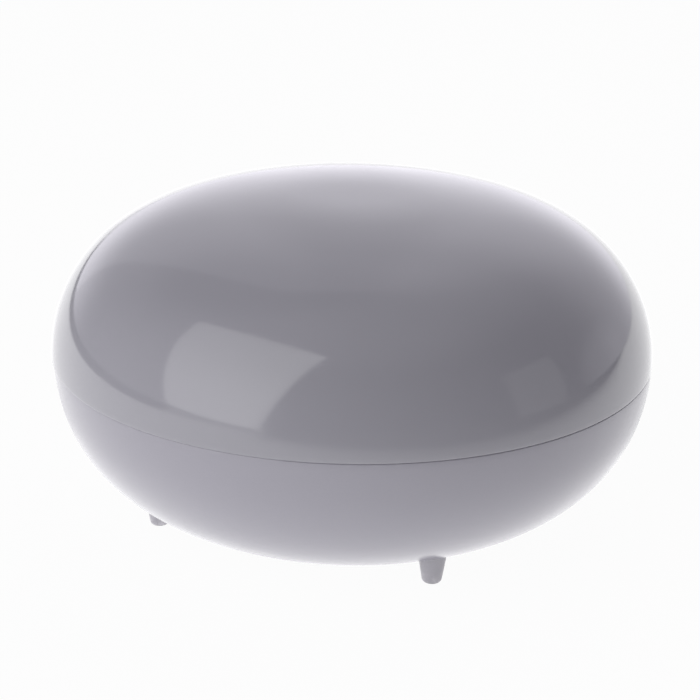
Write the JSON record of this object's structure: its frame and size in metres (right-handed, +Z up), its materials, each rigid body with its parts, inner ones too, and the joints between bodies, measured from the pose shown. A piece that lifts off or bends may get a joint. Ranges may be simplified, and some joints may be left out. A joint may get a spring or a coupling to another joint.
{
  "type": "travel soap box",
  "caption": "Round pebble-shaped soap box: a glossy lift-off lid over a bowl on peg feet, with a loose slotted drain tray inside.",
  "frame": {"origin": "centre of the box on the surface that the four feet stand on", "axes": "+Z up along the pebble's axis, -Y towards the front, +X to the right; the feet lie on the diagonals and the tray's rails run along Y"},
  "size_m": [0.116, 0.116, 0.0619],
  "materials": {
    "lid_plastic": "high gloss, cool grey",
    "base_plastic": "soft gloss, cool grey",
    "tray_plastic": "fine satin, cool grey",
    "foot_rubber": "soft matt rubber, cool grey"
  },
  "bodies": {
    "base": {"base": "base_plastic", "foot_front_right": "foot_rubber", "foot_front_left": "foot_rubber", "foot_rear_left": "foot_rubber", "foot_rear_right": "foot_rubber"},
    "tray": {"drain_tray": "tray_plastic"},
    "lid": {"lid": "lid_plastic"}
  },
  "joints": [
    {"name": "tray_lift", "type": "slide", "parent": "base", "child": "tray", "axis": [0, 0, 1], "range_m": [0, 0.045]},
    {"name": "lid_lift", "type": "slide", "parent": "tray", "child": "lid", "axis": [0, 0, 1], "range_m": [0, 0.09]}
  ]
}
